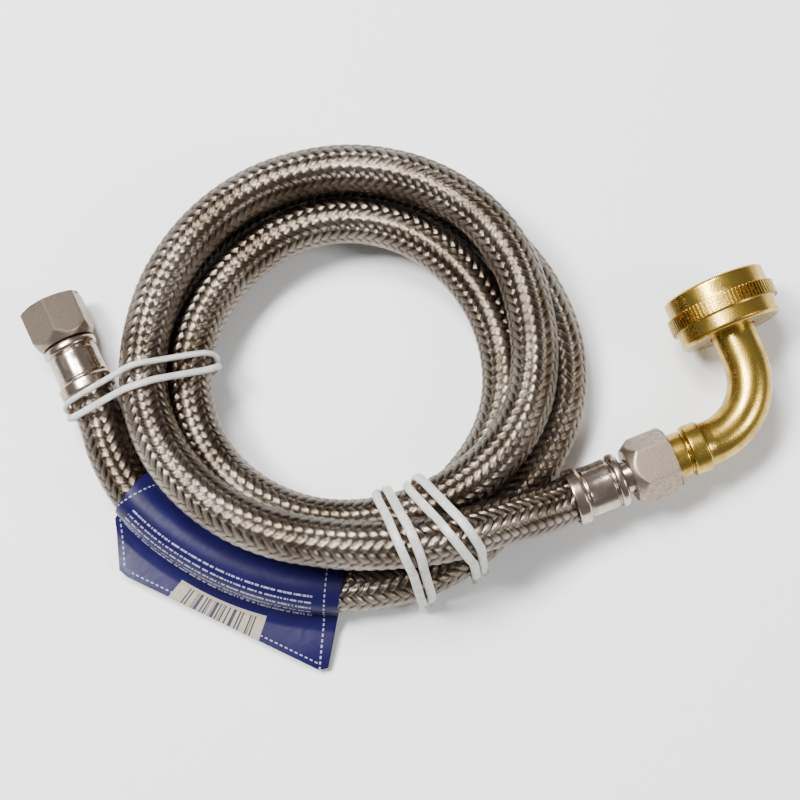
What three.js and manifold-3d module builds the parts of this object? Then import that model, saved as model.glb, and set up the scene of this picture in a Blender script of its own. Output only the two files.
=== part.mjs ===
// Braided dishwasher supply line, coiled flat and tied with wire ties as it is sold.
// Millimetres, +Z up, the coil lies on z = 0. The outlet fitting points along +X and the
// mouth of its hose-thread swivel nut along +Y.
import * as THREE from 'three';
import { mergeVertices } from 'three/addons/utils/BufferGeometryUtils.js';
import Module from 'manifold-3d';

const wasm = await Module();
wasm.setup();

const RUNNING_GAP = 0.3;

// Hose: a vinyl liner with a 3/8 inch bore inside a stainless braid.
const HOSE_RADIUS = 7.0;
const HOSE_BORE = 4.75;
const BRAID_WALL = 1.0;
const HOSE_SIDES = 8;
const HOSE_STEPS = 80;
const HOSE_INSERT = 0.7;

// Compression nut, the same at both ends.
const NUT_FLATS = 17.0;
const NUT_LENGTH = 13.0;
const NUT_SKIRT_LENGTH = 3.4;
const NUT_CORNER_RADIUS = NUT_FLATS / Math.sqrt(3);
const NUT_SKIRT_RADIUS = NUT_FLATS / 2 - 0.8;
const NUT_MOUTH_RADIUS = NUT_CORNER_RADIUS - 0.6;
const NUT_MOUTH_CHAMFER = 0.5;
const NUT_BACK_WALL = 2.6;
const THREAD_BORE = 7.1;

// Crimped ferrule, measured outwards from the edge where the braid enters it.
const END_RING_RADIUS = 8.2;
const END_RING_CLEARANCE = 0.6;
const END_RING_LENGTH = 4.0;
const BARREL_RADIUS = 7.3;
const BARREL_LENGTH = 8.0;
const GROOVE_DEPTH = 0.5;
const GROOVE_WIDTH = 0.5;
const BEAD_RADIUS = 7.8;
const BEAD_LENGTH = 2.8;
const FERRULE_WALL = 0.6;
const FERRULE_FLOOR = 1.4;

// Barbed stem that the hose is crimped onto.
const STEM_BORE = 3.4;
const BARB_RADIUS = 4.4;
const BARB_COUNT = 3;
const BARB_DEPTH = 0.4;
const STEM_NECK = 4.7;
const STEM_FLANGE_RADIUS = THREAD_BORE - 0.6;
const STEM_FLANGE_LENGTH = 2.2;
const SEAL_LENGTH = 3.2;
const SEAL_NOSE_WALL = 0.4;

// Where the two fittings lie, and which way they point.
const INLET_AT = [-70.6, 24.1, 9.9];
const INLET_TURN = 93.4;
const INLET_NUT_ROLL = 23;
const INLET_NUT_SLIP = 0.3;
const OUTLET_AT = [46.2, -57.4, 15.5];
const OUTLET_NUT_ROLL = 0;
const OUTLET_NUT_SLIP = 2.2;

// Brass elbow.
const NECK_RADIUS = THREAD_BORE - 0.4;
const NECK_SEAL_GAP = 0.4;
const NECK_SHOWING = 4.2;
const NECK_GROOVE_RADIUS = NECK_RADIUS - 0.6;
const NECK_GROOVE_WIDTH = 0.8;
const COLLAR_RADIUS = 7.5;
const COLLAR_LENGTH = 5.0;
const ELBOW_RADIUS = 6.5;
const ELBOW_BORE = 4.6;
const ELBOW_LEAD = 2.4;
const ELBOW_BEND = 19.0;
const ELBOW_TAIL = 8.3;
const ELBOW_FLANGE_LENGTH = 2.0;

// 3/4 inch hose-thread swivel nut and its washer.
const SWIVEL_THREAD_BORE = 13.3;
const SWIVEL_WALL = 1.8;
const SWIVEL_RADIUS = SWIVEL_THREAD_BORE + SWIVEL_WALL;
const SWIVEL_BAND_HEIGHT = 1.05;
const SWIVEL_BAND_RADIUS = SWIVEL_RADIUS + SWIVEL_BAND_HEIGHT;
const SWIVEL_LENGTH = 14.8;
const SWIVEL_BACK_LENGTH = 5.1;
const SWIVEL_BAND_LENGTH = 4.5;
const SWIVEL_BACK_WALL = 3.0;
const SWIVEL_EDGE = 0.5;
const ELBOW_FLANGE_RADIUS = SWIVEL_THREAD_BORE - 1.7;
const WASHER_BORE = 5.2;
const WASHER_THICKNESS = 2.6;

// Wire ties, each wound twice round the bundle.
const TIE_REACH = 30;
const TIE_SPREAD = 3;
const TIE_STEPS = 72;
const TIE_TURNS = 2;
const TIE_STUB = 8;
const ROUND_TIE = { width: 1.9, thickness: 1.9, pitch: 2.4, clearance: 0.45 };
const FLAT_TIE = { width: 2.3, thickness: 1.2, pitch: 2.6, clearance: 0.6 };
const TIES = [
  { name: 'left_tie', at: [-57.1, 19.0], outward: 176, wire: ROUND_TIE, stub: -25 },
  { name: 'right_tie_inner', at: [-3.0, -53.2], outward: -88, wire: FLAT_TIE, stub: -15 },
  { name: 'right_tie_outer', at: [10.0, -51.8], outward: -73, wire: FLAT_TIE, stub: -15 },
];

// Folded vinyl label: it wraps the lowest strand and its two ends lie together as a flap.
const LABEL_THICKNESS = 0.3;
const LABEL_GAP = 0.8;
const LABEL_TOP_ANGLE = -22;
const LABEL_BOTTOM_ANGLE = 298;
const LABEL_JOIN = [10.2, -5.6];
const LABEL_TIP = [27.0, -7.9];
const LABEL_ARC_POINTS = 16;
const LABEL_STEPS = 24;
// Its outline from above, from the coil's centre.
const LABEL_OUTLINE = [
  [-40, 8], [-61.2, -3.4], [-76.8, -11.4], [-78.2, -19.0], [-81.4, -25.6], [-81.0, -27.8],
  [-38.0, -75.0], [-36.0, -75.4], [-34.6, -73.6], [-31.0, -68.0], [-21.0, -54.0], [-12.0, -38.0],
];

// The coil: turn angle in degrees, radius from the coil's centre, height of the hose's centre.
const COIL_CENTRE = [-19.28, 11.35, 0.84];
const LABEL_ROWS = [1, 8];
const COIL = [
  [176, 71.2, 9.4], [186, 69.7, 8.6], [197, 67.0, 8.6], [208, 64.4, 8.6], [220, 62.5, 8.6],
  [232, 61.3, 8.6], [245, 60.8, 8.6], [258, 60.7, 8.6], [273, 60.8, 8.6], [288, 60.4, 8.6],
  [303, 59.8, 8.6], [318, 61.2, 8.6], [333, 63.4, 8.6], [348, 63.6, 8.6], [363, 62.6, 8.6],
  [378, 61.4, 8.6], [393, 60.5, 8.6], [408, 59.8, 8.6], [423, 59.4, 8.6], [438, 59.2, 8.6],
  [458, 59.0, 8.6], [478, 59.0, 8.6], [498, 58.6, 8.6], [518, 57.7, 8.6], [533, 56.5, 8.6],
  [546, 53.9, 8.6], [559, 50.6, 8.6], [573, 47.6, 8.6], [587, 45.6, 8.6], [602, 44.9, 8.6],
  [617, 45.0, 8.6], [632, 45.1, 8.6], [647, 45.3, 8.6], [662, 45.4, 8.6], [677, 46.0, 8.6],
  [692, 46.4, 8.6], [707, 46.4, 8.8], [722, 46.5, 9.5], [737, 46.5, 10.9], [752, 46.5, 12.7],
  [767, 46.5, 14.3], [782, 46.4, 15.1], [797, 46.2, 15.1], [812, 45.8, 14.5], [827, 45.4, 13.9],
  [842, 45.2, 13.9], [857, 45.2, 14.6], [872, 45.3, 15.8], [887, 45.3, 17.2], [902, 45.1, 19.2],
  [915, 44.8, 21.1], [928, 44.4, 22.4], [943, 44.0, 22.9], [958, 43.8, 23.0], [973, 43.8, 23.0],
  [988, 44.4, 23.0], [1003, 45.6, 23.0], [1018, 47.8, 22.9], [1033, 50.6, 22.4], [1048, 53.0, 21.3],
  [1063, 54.4, 21.1], [1078, 56.0, 21.7], [1093, 58.2, 22.7], [1108, 59.6, 23.0], [1123, 60.0, 23.0],
  [1138, 59.9, 23.0], [1153, 59.6, 23.0], [1173, 59.2, 23.0], [1193, 58.6, 23.0], [1213, 58.0, 23.0],
  [1233, 57.4, 23.6], [1248, 56.8, 25.8], [1263, 55.6, 29.4], [1278, 54.0, 32.8], [1293, 52.5, 35.0],
  [1308, 51.2, 36.0], [1323, 50.6, 36.2], [1335, 51.4, 35.7],
];
// Hose centre between each fitting and the coil, from the coil's centre.
const INLET_LEAD = [[-70.4, 19.2, 9.9], [-70.5, 13.3, 9.9]];
const OUTLET_LEAD = [[6.4, -55.5, 33.0], [18.5, -56.5, 29.0], [30.9, -57.3, 23.3], [39.6, -57.7, 18.5]];

const rad = THREE.MathUtils.degToRad;
const onAxis = (turn) => new THREE.Vector3(Math.cos(rad(turn)), Math.sin(rad(turn)), 0);

function placed([x, y, z]) {
  return new THREE.Vector3(x, y, z).add(new THREE.Vector3(...COIL_CENTRE));
}

function coilPoint([turn, radius, height]) {
  return placed([radius * Math.cos(rad(turn)), radius * Math.sin(rad(turn)), height]);
}

function hosePath() {
  const inlet = placed(INLET_AT);
  const outlet = placed(OUTLET_AT);
  const curve = new THREE.CatmullRomCurve3([
    inlet.clone().addScaledVector(onAxis(INLET_TURN), HOSE_INSERT),
    inlet,
    ...INLET_LEAD.map(placed),
    ...COIL.map(coilPoint),
    ...OUTLET_LEAD.map(placed),
    outlet,
    outlet.clone().addScaledVector(onAxis(0), HOSE_INSERT),
  ]);
  curve.arcLengthDivisions = 4000;
  return curve;
}

const HOSE_PATH = hosePath();

// A closed polygon round the origin.
function polygon(radius, sides, start = 0) {
  const points = [];
  for (let i = 0; i < sides; i++) {
    const angle = start + (2 * Math.PI * i) / sides;
    points.push(new THREE.Vector2(radius * Math.cos(angle), radius * Math.sin(angle)));
  }
  return points;
}

// A solid of revolution round the X axis from a closed (radius, x) loop drawn counter-clockwise.
function turned(loop, segments = 32) {
  const points = [...loop, loop[0]].map(([radius, x]) => new THREE.Vector2(radius, x));
  return new THREE.LatheGeometry(points, segments).rotateZ(-Math.PI / 2);
}

function ring(inner, outer, from, to, segments = 32) {
  return turned([[inner, from], [outer, from], [outer, to], [inner, to]], segments);
}

function rod(radius, from, to, segments = 32) {
  const length = to - from;
  const geometry = new THREE.CylinderGeometry(radius, radius, length, segments);
  return geometry.rotateZ(-Math.PI / 2).translate(from + length / 2, 0, 0);
}

function sweep(shape, path, steps) {
  return new THREE.ExtrudeGeometry(shape, { extrudePath: path, steps, bevelEnabled: false });
}

function tube(outer, inner, sides, path, steps) {
  const shape = new THREE.Shape(polygon(outer, sides));
  if (inner > 0) shape.holes.push(new THREE.Path(polygon(inner, sides).reverse()));
  return sweep(shape, path, steps);
}

function solid(geometry) {
  const bare = geometry.clone();
  bare.deleteAttribute('normal');
  bare.deleteAttribute('uv');
  const merged = mergeVertices(bare);
  return new wasm.Manifold(new wasm.Mesh({
    numProp: 3,
    vertProperties: new Float32Array(merged.attributes.position.array),
    triVerts: new Uint32Array(merged.index.array),
  }));
}

function geometryOf(manifold) {
  const mesh = manifold.getMesh();
  const geometry = new THREE.BufferGeometry();
  geometry.setAttribute('position', new THREE.BufferAttribute(mesh.vertProperties, 3));
  geometry.setIndex(new THREE.BufferAttribute(mesh.triVerts, 1));
  geometry.computeVertexNormals();
  return geometry;
}

function union(geometries) {
  return geometries.map(solid).reduce((whole, piece) => whole.add(piece));
}

const finish = (color, roughness, metalness) => (
  () => new THREE.MeshStandardMaterial({ color, roughness, metalness })
);
const FINISHES = {
  braid: finish(0x8b857c, 0.35, 0.9),
  liner: finish(0x3a3d3f, 0.7, 0.0),
  nickel: finish(0xa39a90, 0.3, 0.95),
  satinNickel: finish(0x9c8f84, 0.5, 0.9),
  brass: finish(0xc9a44a, 0.32, 0.95),
  rubber: finish(0x1d1d1f, 0.85, 0.0),
  tie: finish(0xd9d4cc, 0.6, 0.0),
  label: finish(0x232c86, 0.3, 0.0),
};

function named(name, geometry, look) {
  const mesh = new THREE.Mesh(geometry, FINISHES[look]());
  mesh.name = name;
  return mesh;
}

// Hose wall pieces: the braid sleeve and the liner share their path, so they nest evenly.
const LINER_RADIUS = HOSE_RADIUS - BRAID_WALL - RUNNING_GAP;

function hoseBraid() {
  const inner = HOSE_RADIUS - BRAID_WALL;
  return named('hose_braid', tube(HOSE_RADIUS, inner, HOSE_SIDES, HOSE_PATH, HOSE_STEPS), 'braid');
}

function hoseLiner() {
  return named('hose_liner', tube(LINER_RADIUS, HOSE_BORE, HOSE_SIDES, HOSE_PATH, HOSE_STEPS), 'liner');
}

// Ferrule lengths along its axis.
const BARREL_START = END_RING_LENGTH + GROOVE_WIDTH;
const BARREL_END = BARREL_START + BARREL_LENGTH;
const BEAD_START = BARREL_END + GROOVE_WIDTH;
const FERRULE_LENGTH = BEAD_START + BEAD_LENGTH;
const CRIMP_BORE = BARREL_RADIUS - FERRULE_WALL;
const FERRULE_FLOOR_START = FERRULE_LENGTH - FERRULE_FLOOR;

function ferrule(name) {
  const groove = BARREL_RADIUS - GROOVE_DEPTH;
  const mouth = HOSE_RADIUS + END_RING_CLEARANCE;
  const step = HOSE_INSERT + RUNNING_GAP;
  const floorBore = STEM_NECK + RUNNING_GAP;
  const loop = [
    [mouth, 0], [END_RING_RADIUS - 0.3, 0], [END_RING_RADIUS, 0.4],
    [END_RING_RADIUS, END_RING_LENGTH - 0.6], [groove, END_RING_LENGTH], [groove, BARREL_START],
    [BARREL_RADIUS, BARREL_START + 0.3], [BARREL_RADIUS, BARREL_END], [groove, BARREL_END],
    [groove, BEAD_START], [BEAD_RADIUS, BEAD_START + 0.6],
    [BEAD_RADIUS, FERRULE_LENGTH - 0.6], [BEAD_RADIUS - 0.6, FERRULE_LENGTH],
    [floorBore, FERRULE_LENGTH], [floorBore, FERRULE_FLOOR_START],
    [CRIMP_BORE - GROOVE_DEPTH, FERRULE_FLOOR_START], [CRIMP_BORE - GROOVE_DEPTH, step], [mouth, step],
  ];
  return named(name, turned(loop), 'nickel');
}

// The crimped end of the hose wall, gripped between the ferrule and the stem's barbs.
function hoseEnd(name) {
  const outer = CRIMP_BORE - GROOVE_DEPTH - RUNNING_GAP;
  const inner = BARB_RADIUS + RUNNING_GAP;
  const from = HOSE_INSERT + 2 * RUNNING_GAP;
  const to = FERRULE_FLOOR_START - 3 * RUNNING_GAP;
  return named(name, ring(inner, outer, from, to, 24), 'liner');
}

const nutStart = (slip) => FERRULE_LENGTH + slip;
const flangeStart = (slip) => nutStart(slip) + NUT_BACK_WALL + RUNNING_GAP;

function stem(name, slip) {
  const flange = flangeStart(slip);
  const face = flange + STEM_FLANGE_LENGTH;
  const barbFrom = HOSE_INSERT + 2 * RUNNING_GAP;
  const barbTo = FERRULE_FLOOR_START - 2 * RUNNING_GAP;
  const pitch = (barbTo - barbFrom) / BARB_COUNT;
  const loop = [[STEM_BORE, barbFrom]];
  for (let i = 0; i < BARB_COUNT; i++) {
    loop.push([BARB_RADIUS - BARB_DEPTH, barbFrom + i * pitch]);
    loop.push([BARB_RADIUS, barbFrom + (i + 0.8) * pitch]);
  }
  loop.push([BARB_RADIUS, barbTo], [STEM_NECK, barbTo], [STEM_NECK, flange]);
  loop.push([STEM_FLANGE_RADIUS, flange], [STEM_FLANGE_RADIUS, face]);
  loop.push([STEM_NECK, face], [STEM_NECK, face + SEAL_LENGTH * 0.5], [STEM_BORE, face + SEAL_LENGTH * 0.5]);
  return named(name, turned(loop, 24), 'brass');
}

// Tapered rubber seal on the stem's nose.
function seal(name, slip) {
  const from = flangeStart(slip) + STEM_FLANGE_LENGTH + RUNNING_GAP;
  const inner = STEM_NECK + RUNNING_GAP;
  const loop = [
    [inner, from], [STEM_FLANGE_RADIUS, from], [inner + SEAL_NOSE_WALL, from + SEAL_LENGTH],
    [inner, from + SEAL_LENGTH],
  ];
  return named(name, turned(loop, 24), 'rubber');
}

function compressionNut(name, slip, roll) {
  const from = nutStart(slip);
  const to = from + NUT_LENGTH;
  const corner = NUT_CORNER_RADIUS + 0.05;
  const loop = [
    [STEM_NECK + RUNNING_GAP, from], [NUT_SKIRT_RADIUS, from], [corner, from + NUT_SKIRT_LENGTH],
    [corner, to - NUT_MOUTH_CHAMFER], [NUT_MOUTH_RADIUS, to], [THREAD_BORE, to],
    [THREAD_BORE, from + NUT_BACK_WALL], [STEM_NECK + RUNNING_GAP, from + NUT_BACK_WALL],
  ];
  const hexagon = new THREE.Shape(polygon(NUT_CORNER_RADIUS, 6));
  const prism = new THREE.ExtrudeGeometry(hexagon, { depth: NUT_LENGTH + 2, bevelEnabled: false });
  prism.applyMatrix4(new THREE.Matrix4().makeBasis(
    new THREE.Vector3(0, 1, 0), new THREE.Vector3(0, 0, 1), new THREE.Vector3(1, 0, 0),
  )).translate(from - 1, 0, 0);
  const body = solid(turned(loop, 36)).intersect(solid(prism));
  const mesh = named(name, geometryOf(body), 'satinNickel');
  mesh.rotation.x = rad(roll);
  return mesh;
}

// One crimped fitting, its axis along +X from the edge where the braid enters.
function fitting(end, slip, roll) {
  const group = new THREE.Group();
  group.add(
    ferrule(`${end}_ferrule`),
    hoseEnd(`${end}_hose_end`),
    stem(`${end}_stem`, slip),
    seal(`${end}_seal`, slip),
    compressionNut(`${end}_nut`, slip, roll),
  );
  return group;
}

// Elbow lengths along the outlet's axis, then round the bend and along +Y.
const OUTLET_NUT_END = nutStart(OUTLET_NUT_SLIP) + NUT_LENGTH;
const NECK_END = OUTLET_NUT_END + NECK_SHOWING;
const COLLAR_START = NECK_END + NECK_GROOVE_WIDTH;
const COLLAR_END = COLLAR_START + COLLAR_LENGTH;
const BEND_START = COLLAR_END + ELBOW_LEAD;
const SWIVEL_AXIS_X = BEND_START + ELBOW_BEND;
const SWIVEL_START = ELBOW_BEND + ELBOW_TAIL;
const FLANGE_START = SWIVEL_START + SWIVEL_BACK_WALL + RUNNING_GAP;
const FLANGE_END = FLANGE_START + ELBOW_FLANGE_LENGTH;

// Straight, quarter bend to the left, straight.
class ElbowPath extends THREE.Curve {
  constructor(from, to) {
    super();
    this.lead = BEND_START - from;
    this.from = from;
    this.arc = (ELBOW_BEND * Math.PI) / 2;
    this.tail = to - ELBOW_BEND;
    this.arcLengthDivisions = 400;
  }

  getPoint(t, target = new THREE.Vector3()) {
    const run = t * (this.lead + this.arc + this.tail);
    if (run < this.lead) return target.set(this.from + run, 0, 0);
    const past = run - this.lead - this.arc;
    if (past > 0) return target.set(SWIVEL_AXIS_X, ELBOW_BEND + past, 0);
    const angle = (run - this.lead) / ELBOW_BEND;
    return target.set(
      BEND_START + ELBOW_BEND * Math.sin(angle), ELBOW_BEND * (1 - Math.cos(angle)), 0,
    );
  }
}

function elbow() {
  const sealEnd = flangeStart(OUTLET_NUT_SLIP) + STEM_FLANGE_LENGTH + RUNNING_GAP + SEAL_LENGTH;
  const neckStart = sealEnd + NECK_SEAL_GAP;
  const overlap = 0.5;
  const flange = rod(ELBOW_FLANGE_RADIUS, FLANGE_START, FLANGE_END)
    .rotateZ(Math.PI / 2).translate(SWIVEL_AXIS_X, 0, 0);
  const outside = union([
    rod(NECK_RADIUS, neckStart, NECK_END),
    rod(NECK_GROOVE_RADIUS, NECK_END - overlap, COLLAR_START + overlap),
    rod(COLLAR_RADIUS, COLLAR_START, COLLAR_END),
    tube(ELBOW_RADIUS, 0, 24, new ElbowPath(COLLAR_END - overlap, FLANGE_END - overlap), 26),
    flange,
  ]);
  const bore = tube(ELBOW_BORE, 0, 16, new ElbowPath(neckStart - 1, FLANGE_END + 1), 26);
  return named('elbow', geometryOf(outside.subtract(solid(bore))), 'brass');
}

function swivelNut() {
  const band = SWIVEL_START + SWIVEL_BACK_LENGTH;
  const bandEnd = band + SWIVEL_BAND_LENGTH;
  const end = SWIVEL_START + SWIVEL_LENGTH;
  const bore = ELBOW_RADIUS + RUNNING_GAP;
  const shoulder = SWIVEL_START + SWIVEL_BACK_WALL;
  const loop = [
    [bore, SWIVEL_START], [SWIVEL_RADIUS - SWIVEL_EDGE, SWIVEL_START],
    [SWIVEL_RADIUS, SWIVEL_START + SWIVEL_EDGE], [SWIVEL_RADIUS, band],
    [SWIVEL_BAND_RADIUS, band], [SWIVEL_BAND_RADIUS, bandEnd], [SWIVEL_RADIUS, bandEnd],
    [SWIVEL_RADIUS, end - SWIVEL_EDGE], [SWIVEL_RADIUS - SWIVEL_EDGE, end],
    [SWIVEL_THREAD_BORE, end], [SWIVEL_THREAD_BORE, shoulder], [bore, shoulder],
  ];
  return named('swivel_nut', turned(loop, 44), 'brass');
}

function hoseWasher() {
  const from = FLANGE_END + RUNNING_GAP;
  const outer = SWIVEL_THREAD_BORE - RUNNING_GAP;
  return named('hose_washer', ring(WASHER_BORE, outer, from, from + WASHER_THICKNESS, 28), 'rubber');
}

// Where the hose crosses an upright plane through `at`: distance outwards from it, and height.
function hoseCrossings(at, outward, facing) {
  const stations = HOSE_PATH.getSpacedPoints(HOSE_STEPS).map((point) => point.sub(at));
  const found = [];
  for (let i = 1; i < stations.length; i++) {
    const [before, after] = [stations[i - 1], stations[i]];
    const [here, there] = [before.dot(facing), after.dot(facing)];
    const crossing = before.clone().lerp(after, here / (here - there));
    if (here * there <= 0 && Math.abs(crossing.dot(outward)) < TIE_REACH) {
      found.push([crossing.dot(outward), crossing.z]);
    }
  }
  return found;
}

// The outline of a band drawn tight round equal circles, at each angle round the bundle.
function bandPoint(circles, radius, angle) {
  const [x, z] = [Math.cos(angle), Math.sin(angle)];
  const support = ([w, h]) => w * x + h * z;
  const outermost = circles.reduce((best, c) => (support(c) > support(best) ? c : best));
  return [outermost[0] + radius * x, outermost[1] + radius * z];
}

// A tie's centre line: a stub, two turns round the bundle side by side, and a stub.
function tiePath({ at, outward, wire, stub }) {
  const centre = placed([at[0], at[1], 0]).setZ(0);
  const across = onAxis(outward);
  const facing = onAxis(outward + 90);
  const circles = [-TIE_SPREAD, 0, TIE_SPREAD].flatMap((offset) => (
    hoseCrossings(centre.clone().addScaledVector(facing, offset), across, facing)
  ));
  const radius = HOSE_RADIUS + wire.clearance + wire.thickness / 2;
  const place = ([w, h], offset) => centre.clone()
    .addScaledVector(across, w).addScaledVector(facing, offset).setZ(h);
  const stubs = [TIE_STUB, TIE_STUB / 2].map((length) => bandPoint(circles, radius + length, rad(stub)));
  const lane = wire.width * 0.7;
  const points = stubs.map((point) => place(point, -lane));
  const samples = 24 * TIE_TURNS;
  for (let i = 0; i <= samples; i++) {
    const turns = (i / samples) * TIE_TURNS;
    const angle = rad(stub) + 2 * Math.PI * turns;
    points.push(place(bandPoint(circles, radius, angle), (turns - TIE_TURNS / 2) * wire.pitch));
  }
  points.push(...stubs.reverse().map((point) => place(point, lane)));
  const curve = new THREE.CatmullRomCurve3(points);
  curve.arcLengthDivisions = 2000;
  return curve;
}

function tie(spec) {
  const { width, thickness } = spec.wire;
  const outline = polygon(0.5, 8, Math.PI / 8).map((p) => new THREE.Vector2(p.x * thickness, p.y * width));
  return named(spec.name, sweep(new THREE.Shape(outline), tiePath(spec), TIE_STEPS), 'tie');
}

// The label's cross-section as (outwards, up) from the hose's centre.
function labelSection() {
  const inner = HOSE_RADIUS + LABEL_GAP;
  const outer = inner + LABEL_THICKNESS;
  const arc = (radius) => {
    const points = [];
    for (let i = 0; i <= LABEL_ARC_POINTS; i++) {
      const angle = rad(THREE.MathUtils.lerp(LABEL_TOP_ANGLE, LABEL_BOTTOM_ANGLE, i / LABEL_ARC_POINTS));
      points.push([radius * Math.cos(angle), radius * Math.sin(angle)]);
    }
    return points;
  };
  const [joinOut, joinUp] = LABEL_JOIN;
  const [tipOut, tipUp] = LABEL_TIP;
  const t = LABEL_THICKNESS;
  const outline = [
    [tipOut, tipUp - t], [tipOut, tipUp + t], [joinOut, joinUp + t], ...arc(outer), [joinOut, joinUp - t],
  ];
  const pocket = [[joinOut - 3 * t, joinUp], ...arc(inner)];
  // On a level path the sweep's first axis points down and its second one inwards.
  const turn = ([out, up]) => new THREE.Vector2(-up, -out);
  const shape = new THREE.Shape(outline.reverse().map(turn));
  shape.holes.push(new THREE.Path(pocket.map(turn)));
  return shape;
}

function label() {
  const [first, last] = LABEL_ROWS;
  const level = COIL[first][2];
  const rows = COIL.slice(first - 1, last + 2);
  const path = new THREE.CatmullRomCurve3(rows.map(([turn, radius]) => coilPoint([turn, radius, level])));
  const wrap = solid(sweep(labelSection(), path, LABEL_STEPS));
  const outline = LABEL_OUTLINE.map(([x, y]) => new THREE.Vector2(COIL_CENTRE[0] + x, COIL_CENTRE[1] + y));
  const cutter = new THREE.ExtrudeGeometry(new THREE.Shape(outline), { depth: 40, bevelEnabled: false });
  return named('label', geometryOf(wrap.intersect(solid(cutter.translate(0, 0, -10)))), 'label');
}

const supplyLine = new THREE.Group();

const inlet = fitting('inlet', INLET_NUT_SLIP, INLET_NUT_ROLL);
inlet.position.copy(placed(INLET_AT));
inlet.rotation.z = rad(INLET_TURN);

const outlet = fitting('outlet', OUTLET_NUT_SLIP, OUTLET_NUT_ROLL);
outlet.position.copy(placed(OUTLET_AT));
outlet.add(elbow());

const swivel = new THREE.Group();
swivel.position.set(SWIVEL_AXIS_X, 0, 0);
swivel.rotation.z = Math.PI / 2;
swivel.add(swivelNut(), hoseWasher());
outlet.add(swivel);

supplyLine.add(hoseBraid(), hoseLiner(), inlet, outlet, ...TIES.map(tie), label());

export default supplyLine;
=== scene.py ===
"""Coiled braided supply line with its two crimped fittings, elbow, swivel nut, ties and label."""
import math

import bmesh
import bpy
import numpy as np
from mathutils import Matrix, Vector


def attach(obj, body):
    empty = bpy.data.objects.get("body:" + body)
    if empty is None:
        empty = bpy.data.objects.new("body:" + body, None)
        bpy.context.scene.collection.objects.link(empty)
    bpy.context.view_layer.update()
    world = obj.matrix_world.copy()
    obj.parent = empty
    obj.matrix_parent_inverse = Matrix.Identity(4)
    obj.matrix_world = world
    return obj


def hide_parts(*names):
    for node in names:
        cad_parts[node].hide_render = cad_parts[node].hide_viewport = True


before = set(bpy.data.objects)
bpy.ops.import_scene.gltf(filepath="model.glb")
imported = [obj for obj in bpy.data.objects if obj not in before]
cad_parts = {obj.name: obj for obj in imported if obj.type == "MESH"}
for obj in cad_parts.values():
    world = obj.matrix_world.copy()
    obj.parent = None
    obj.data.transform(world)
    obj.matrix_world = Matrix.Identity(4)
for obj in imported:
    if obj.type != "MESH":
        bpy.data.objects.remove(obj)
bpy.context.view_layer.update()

# ---------------------------------------------------------------- sizes, in metres
MM = 0.001
HOSE_RADIUS = 0.0070
CORE_RADIUS = 0.0062
HOSE_INSERT = 0.0007
BRAID_RADIUS = 0.00665
BRAID_ANGLE = math.radians(50)
CARRIERS = 12
STRAND_WIDTH = 0.00215
STRAND_LIFT = 0.00022
STRAND_CROWN = 0.00022
WIRES_PER_STRAND = 6
STRAND_SAMPLES = 2040

COIL_CENTRE = Vector((-0.01928, 0.01135, 0.00084))
INLET_AT = (-0.0706, 0.0241, 0.0099)
INLET_TURN = 93.4
INLET_NUT_ROLL = 23
OUTLET_AT = (0.0462, -0.0574, 0.0155)
INLET_LEAD = [(-0.0704, 0.0192, 0.0099), (-0.0705, 0.0133, 0.0099)]
OUTLET_LEAD = [
    (0.0064, -0.0555, 0.0330), (0.0185, -0.0565, 0.0290), (0.0309, -0.0573, 0.0233),
    (0.0396, -0.0577, 0.0185),
]
# The coil: turn angle in degrees, then in millimetres the radius from the coil's centre and the
# height of the hose's centre.
COIL = [
    (176, 71.2, 9.4), (186, 69.7, 8.6), (197, 67.0, 8.6), (208, 64.4, 8.6), (220, 62.5, 8.6),
    (232, 61.3, 8.6), (245, 60.8, 8.6), (258, 60.7, 8.6), (273, 60.8, 8.6), (288, 60.4, 8.6),
    (303, 59.8, 8.6), (318, 61.2, 8.6), (333, 63.4, 8.6), (348, 63.6, 8.6), (363, 62.6, 8.6),
    (378, 61.4, 8.6), (393, 60.5, 8.6), (408, 59.8, 8.6), (423, 59.4, 8.6), (438, 59.2, 8.6),
    (458, 59.0, 8.6), (478, 59.0, 8.6), (498, 58.6, 8.6), (518, 57.7, 8.6), (533, 56.5, 8.6),
    (546, 53.9, 8.6), (559, 50.6, 8.6), (573, 47.6, 8.6), (587, 45.6, 8.6), (602, 44.9, 8.6),
    (617, 45.0, 8.6), (632, 45.1, 8.6), (647, 45.3, 8.6), (662, 45.4, 8.6), (677, 46.0, 8.6),
    (692, 46.4, 8.6), (707, 46.4, 8.8), (722, 46.5, 9.5), (737, 46.5, 10.9), (752, 46.5, 12.7),
    (767, 46.5, 14.3), (782, 46.4, 15.1), (797, 46.2, 15.1), (812, 45.8, 14.5), (827, 45.4, 13.9),
    (842, 45.2, 13.9), (857, 45.2, 14.6), (872, 45.3, 15.8), (887, 45.3, 17.2), (902, 45.1, 19.2),
    (915, 44.8, 21.1), (928, 44.4, 22.4), (943, 44.0, 22.9), (958, 43.8, 23.0), (973, 43.8, 23.0),
    (988, 44.4, 23.0), (1003, 45.6, 23.0), (1018, 47.8, 22.9), (1033, 50.6, 22.4), (1048, 53.0, 21.3),
    (1063, 54.4, 21.1), (1078, 56.0, 21.7), (1093, 58.2, 22.7), (1108, 59.6, 23.0), (1123, 60.0, 23.0),
    (1138, 59.9, 23.0), (1153, 59.6, 23.0), (1173, 59.2, 23.0), (1193, 58.6, 23.0), (1213, 58.0, 23.0),
    (1233, 57.4, 23.6), (1248, 56.8, 25.8), (1263, 55.6, 29.4), (1278, 54.0, 32.8), (1293, 52.5, 35.0),
    (1308, 51.2, 36.0), (1323, 50.6, 36.2), (1335, 51.4, 35.7),
]
NUT_FLATS = 0.0170
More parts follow.
